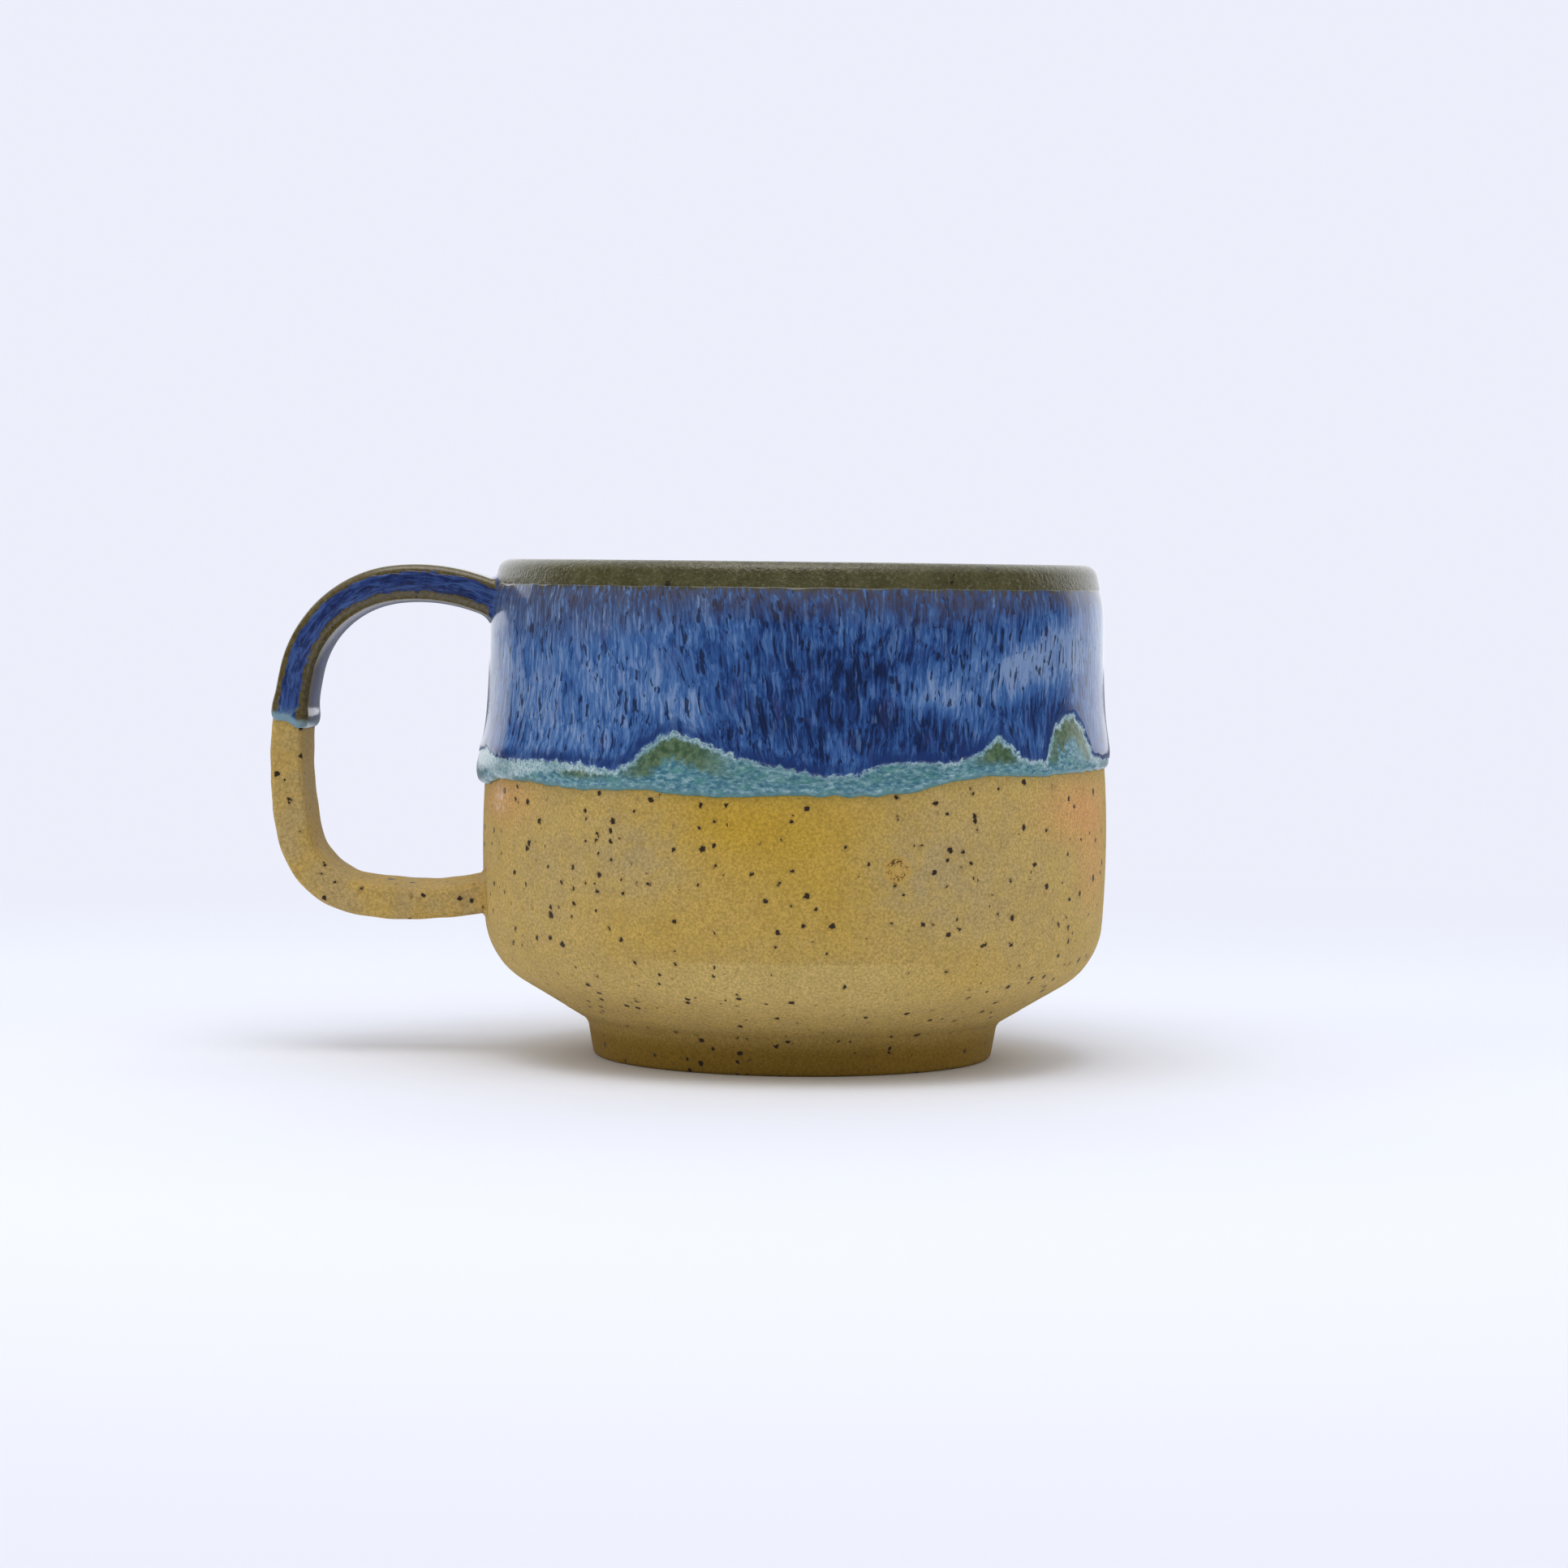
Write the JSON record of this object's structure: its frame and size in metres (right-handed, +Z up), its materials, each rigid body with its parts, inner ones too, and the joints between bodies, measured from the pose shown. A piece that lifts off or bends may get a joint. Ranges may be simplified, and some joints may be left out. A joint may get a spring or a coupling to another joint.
{
  "type": "ceramic mug",
  "caption": "Thrown stoneware mug with a strap handle, bare speckled clay below and glossy streaked blue glaze above.",
  "frame": {"origin": "centre of the foot ring's resting plane, on the cup's axis", "axes": "+Z up through the mouth; -X towards the handle; Y completes the frame"},
  "size_m": [0.1337, 0.1006, 0.079],
  "materials": {
    "stoneware": "matte, bare, iron-speckled",
    "slip": "matte, bare",
    "liner_glaze": "glossy",
    "lip_glaze": "glossy",
    "base_glaze": "glossy, crystalline",
    "blue_glaze": "glossy, streaked",
    "handle_glaze": "glossy, thin"
  },
  "bodies": {
    "root": {"cup_body": "stoneware", "handle_strap": "stoneware", "upper_lute": "slip", "lower_lute": "slip", "liner_glaze": "liner_glaze", "lip_glaze": "lip_glaze", "base_glaze": "base_glaze", "blue_glaze": "blue_glaze", "handle_base_glaze": "handle_glaze", "front_blue_run": "blue_glaze", "back_blue_run": "blue_glaze"}
  },
  "joints": []
}
